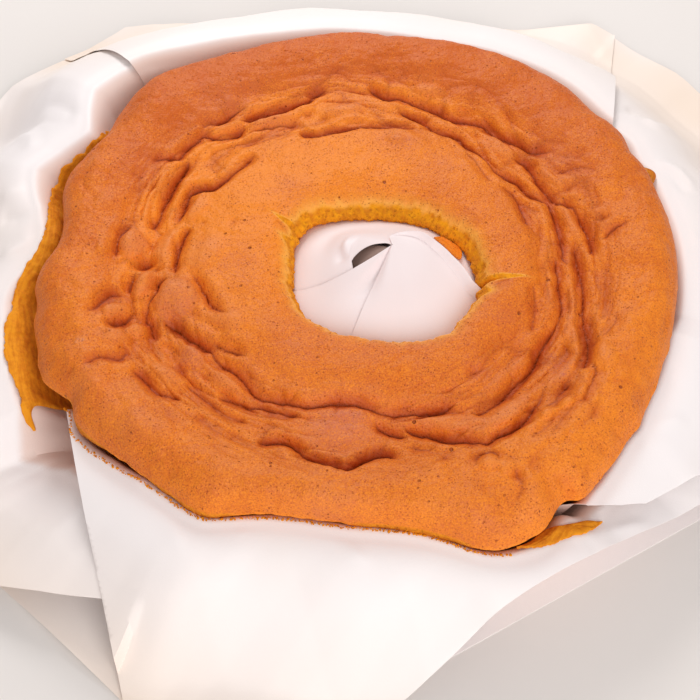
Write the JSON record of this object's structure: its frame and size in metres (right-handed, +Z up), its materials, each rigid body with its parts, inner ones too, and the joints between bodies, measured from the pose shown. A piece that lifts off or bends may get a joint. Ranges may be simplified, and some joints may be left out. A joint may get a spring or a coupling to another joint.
{
  "type": "sponge cake",
  "caption": "Ring-shaped sponge cake with a puffed rim and a sunken, folded groove, lying in its creased baking paper with a paper cone in its hole.",
  "frame": {"origin": "the middle of the ring, on the table under the base sheet", "axes": "+Z up, through the ring's hole; the front of the cake, nearest to the camera, faces -Y; +X is to the right as seen from the front"},
  "size_m": [0.41, 0.392, 0.0662],
  "materials": {
    "crust": "matt orange-brown baked sponge crust with fine pores",
    "crumb": "soft golden-yellow open sponge crumb",
    "baking_paper": "thin white baking paper, matt and slightly translucent"
  },
  "bodies": {
    "root": {"sponge_cake": "crust", "crust_scrap": "crust", "crumb_strip": "crumb", "crumb_smear": "crumb", "base_sheet": "baking_paper", "lining_left": "baking_paper", "lining_front": "baking_paper", "lining_right": "baking_paper", "lining_back": "baking_paper", "cone_back": "baking_paper", "cone_left": "baking_paper", "cone_right": "baking_paper"}
  },
  "joints": []
}
